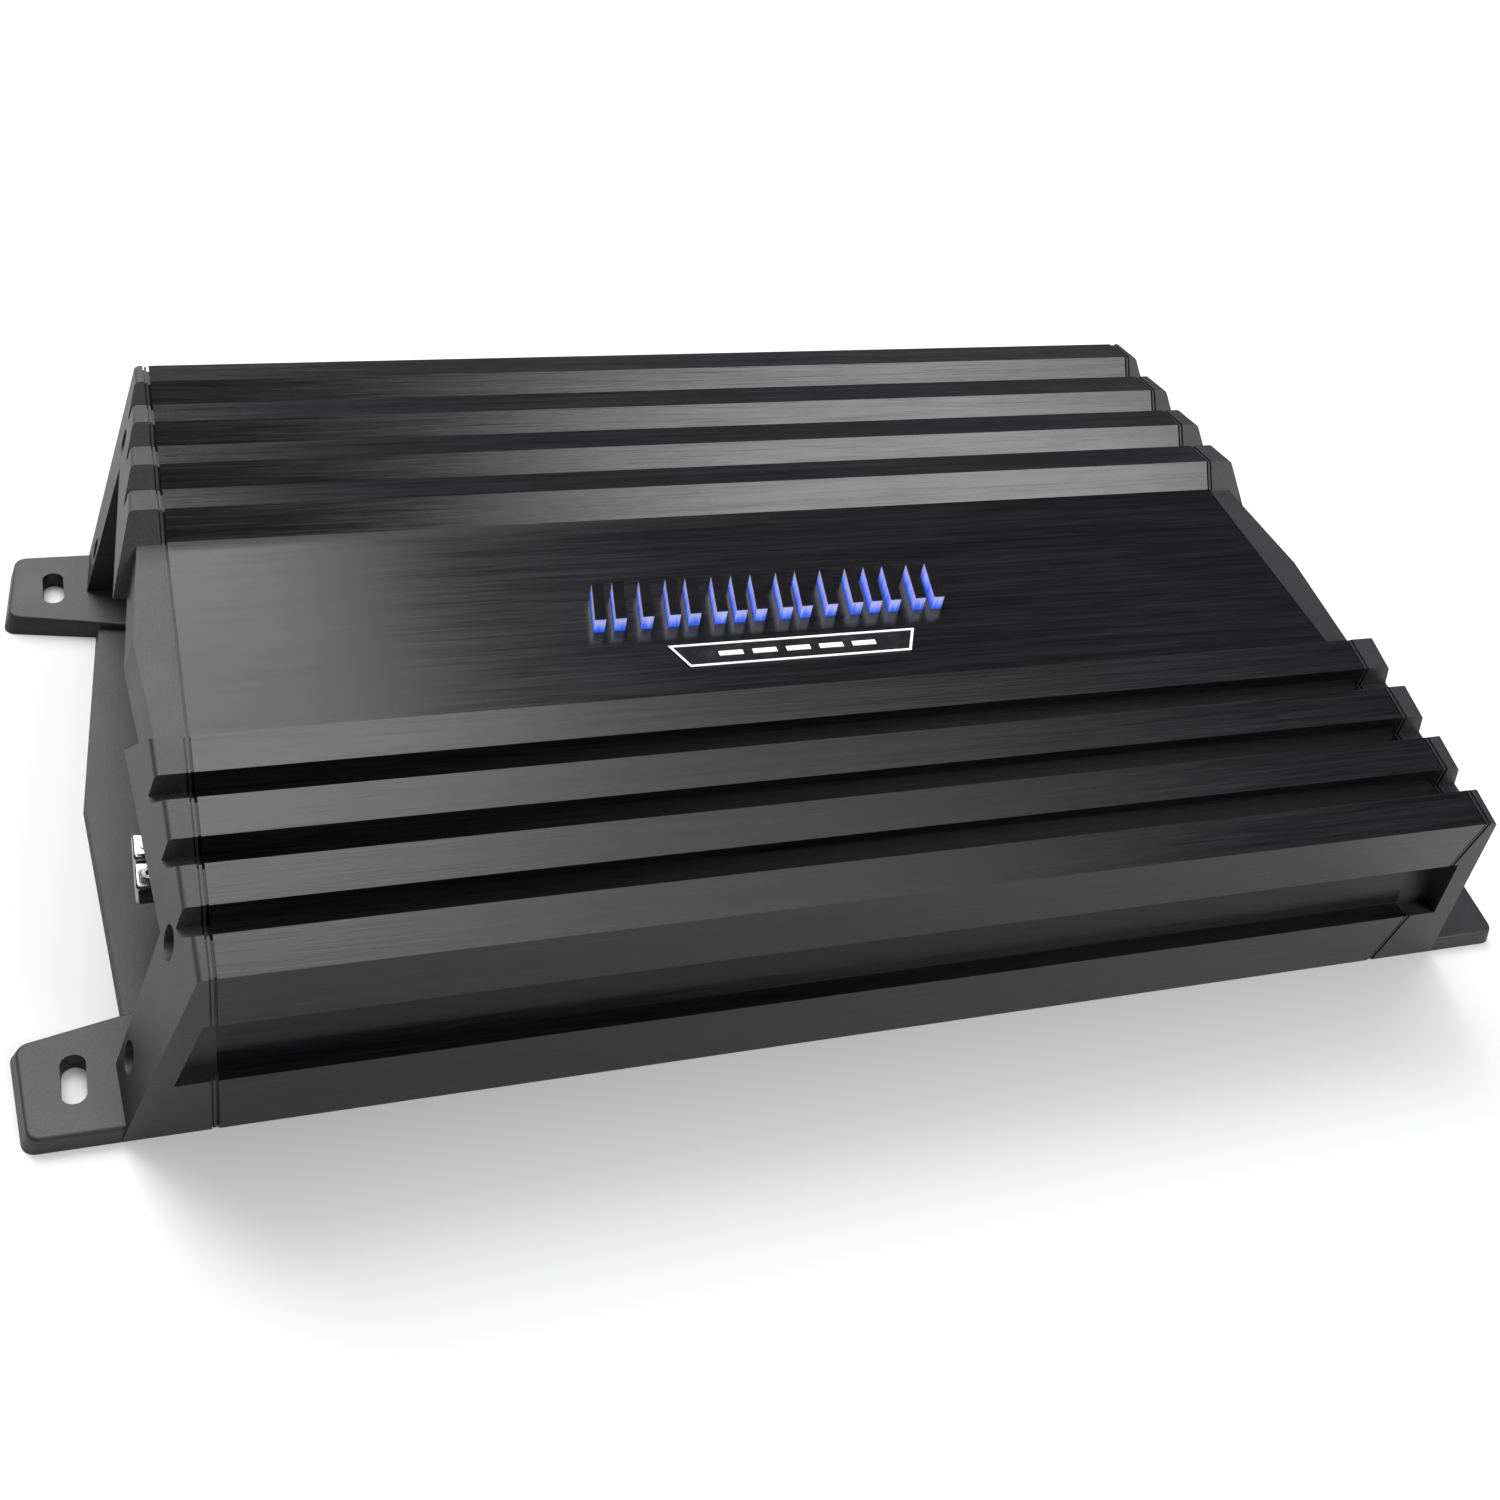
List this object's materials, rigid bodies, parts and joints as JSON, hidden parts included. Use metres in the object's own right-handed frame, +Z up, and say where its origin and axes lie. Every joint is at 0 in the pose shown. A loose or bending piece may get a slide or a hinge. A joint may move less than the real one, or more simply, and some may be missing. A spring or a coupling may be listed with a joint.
{
  "type": "car amplifier",
  "caption": "Flat rectangular car audio amplifier with a ribbed black heatsink housing, raised end caps with slotted feet, wire terminals, phono sockets and turning controls.",
  "frame": {"origin": "centre of the bounding box at the plane the feet stand on", "axes": "+X along the length, towards the signal end; +Y to the rear, +Z up"},
  "size_m": [0.3604, 0.2, 0.06],
  "materials": {
    "black_extrusion": "black anodised, brushed lengthwise",
    "black_cast": "fine textured black powder coat over a casting",
    "black_sheet": "satin black paint",
    "panel": "satin black paint with plain white marks",
    "black_screws": "black zinc",
    "plain_steel": "zinc plated",
    "brass_posts": "turned",
    "lit_acrylic": "clear, lit blue from below",
    "gloss_black": "polished",
    "badge_black": "satin",
    "white_print": "screen print",
    "white_plastic": "moulded",
    "circuit_board": "solder mask over glass epoxy",
    "blue_led": "clear epoxy",
    "nickel_terminal": "bright nickel plate",
    "set_screws": "zinc plated",
    "terminal_moulding": "moulded black",
    "copper_bars": "copper, tinned ends",
    "fuse_body": "translucent amber",
    "fuse_blade": "bright",
    "rca_nickel": "bright nickel plate",
    "rca_white": "moulded",
    "rca_red": "moulded",
    "knob_black": "moulded with a white pointer",
    "slider_white": "moulded",
    "lamp_blue": "clear lens",
    "lamp_red": "clear lens",
    "ferrite": "coated core",
    "copper_winding": "enamelled copper wire",
    "capacitor_sleeve": "shrink sleeve",
    "inductor": "ferrite drum in sleeve",
    "chip_epoxy": "moulded epoxy",
    "tinned_leads": "tinned",
    "thermal_pad": "silicone sheet"
  },
  "bodies": {
    "housing": {"badge_plate": "badge_black", "badge_print": "white_print", "bar_caps": "gloss_black", "blade_fuses": "fuse_body", "bottom_plate": "black_sheet", "bottom_screws": "black_screws", "bus_bars": "copper_bars", "cap_screws": "black_screws", "clamp_bars": "plain_steel", "control_board": "circuit_board", "driver_board": "circuit_board", "driver_chips": "chip_epoxy", "emblem_leds": "blue_led", "end_cap_left": "black_cast", "end_cap_right": "black_cast", "end_panel_left": "panel", "end_panel_right": "panel", "filter_capacitors": "capacitor_sleeve", "fuse_blades": "fuse_blade", "fuse_holder": "terminal_moulding", "heatsink": "black_extrusion", "indicator_power": "lamp_blue", "indicator_protect": "lamp_red", "inner_screws": "plain_steel", "led_board": "circuit_board", "light_bars": "lit_acrylic", "light_box": "white_plastic", "main_pcb": "circuit_board", "mosfet_leads": "tinned_leads", "mosfets": "chip_epoxy", "output_inductors": "inductor", "pcb_standoffs": "brass_posts", "potentiometers": "plain_steel", "power_set_screws": "set_screws", "power_terminal_base": "terminal_moulding", "power_terminals": "nickel_terminal", "rca_housing": "terminal_moulding", "rca_insulators_red": "rca_red", "rca_insulators_white": "rca_white", "rca_shells": "rca_nickel", "remote_port": "terminal_moulding", "remote_terminal": "nickel_terminal", "socket_contacts": "brass_posts", "speaker_set_screws": "set_screws", "speaker_terminal_base": "terminal_moulding", "speaker_terminals": "nickel_terminal", "switch_frames": "plain_steel", "thermal_pads": "thermal_pad", "toroid_cores": "ferrite", "toroid_windings": "copper_winding"},
    "gain_control": {"knob_gain": "knob_black", "shaft_gain": "plain_steel"},
    "low_pass_control": {"knob_low_pass": "knob_black", "shaft_low_pass": "plain_steel"},
    "subsonic_control": {"knob_subsonic": "knob_black", "shaft_subsonic": "plain_steel"},
    "bass_boost_control": {"knob_bass_boost": "knob_black", "shaft_bass_boost": "plain_steel"},
    "phase_switch": {"slider_phase": "slider_white"},
    "input_mode_switch": {"slider_input_mode": "slider_white"}
  },
  "joints": [
    {"name": "gain_turn", "type": "hinge", "parent": "housing", "child": "gain_control", "pos_m": [0.1428, -0.012, 0.0335], "axis": [1, 0, 0], "range_deg": [-150, 150]},
    {"name": "low_pass_turn", "type": "hinge", "parent": "housing", "child": "low_pass_control", "pos_m": [0.1428, 0.005, 0.0335], "axis": [1, 0, 0], "range_deg": [-150, 150]},
    {"name": "subsonic_turn", "type": "hinge", "parent": "housing", "child": "subsonic_control", "pos_m": [0.1428, 0.022, 0.0335], "axis": [1, 0, 0], "range_deg": [-150, 150]},
    {"name": "bass_boost_turn", "type": "hinge", "parent": "housing", "child": "bass_boost_control", "pos_m": [0.1428, 0.039, 0.0335], "axis": [1, 0, 0], "range_deg": [-150, 150]},
    {"name": "phase_slide", "type": "slide", "parent": "housing", "child": "phase_switch", "axis": [0, 1, 0], "range_m": [0, 0.004]},
    {"name": "input_mode_slide", "type": "slide", "parent": "housing", "child": "input_mode_switch", "axis": [0, 1, 0], "range_m": [0, 0.004]}
  ]
}
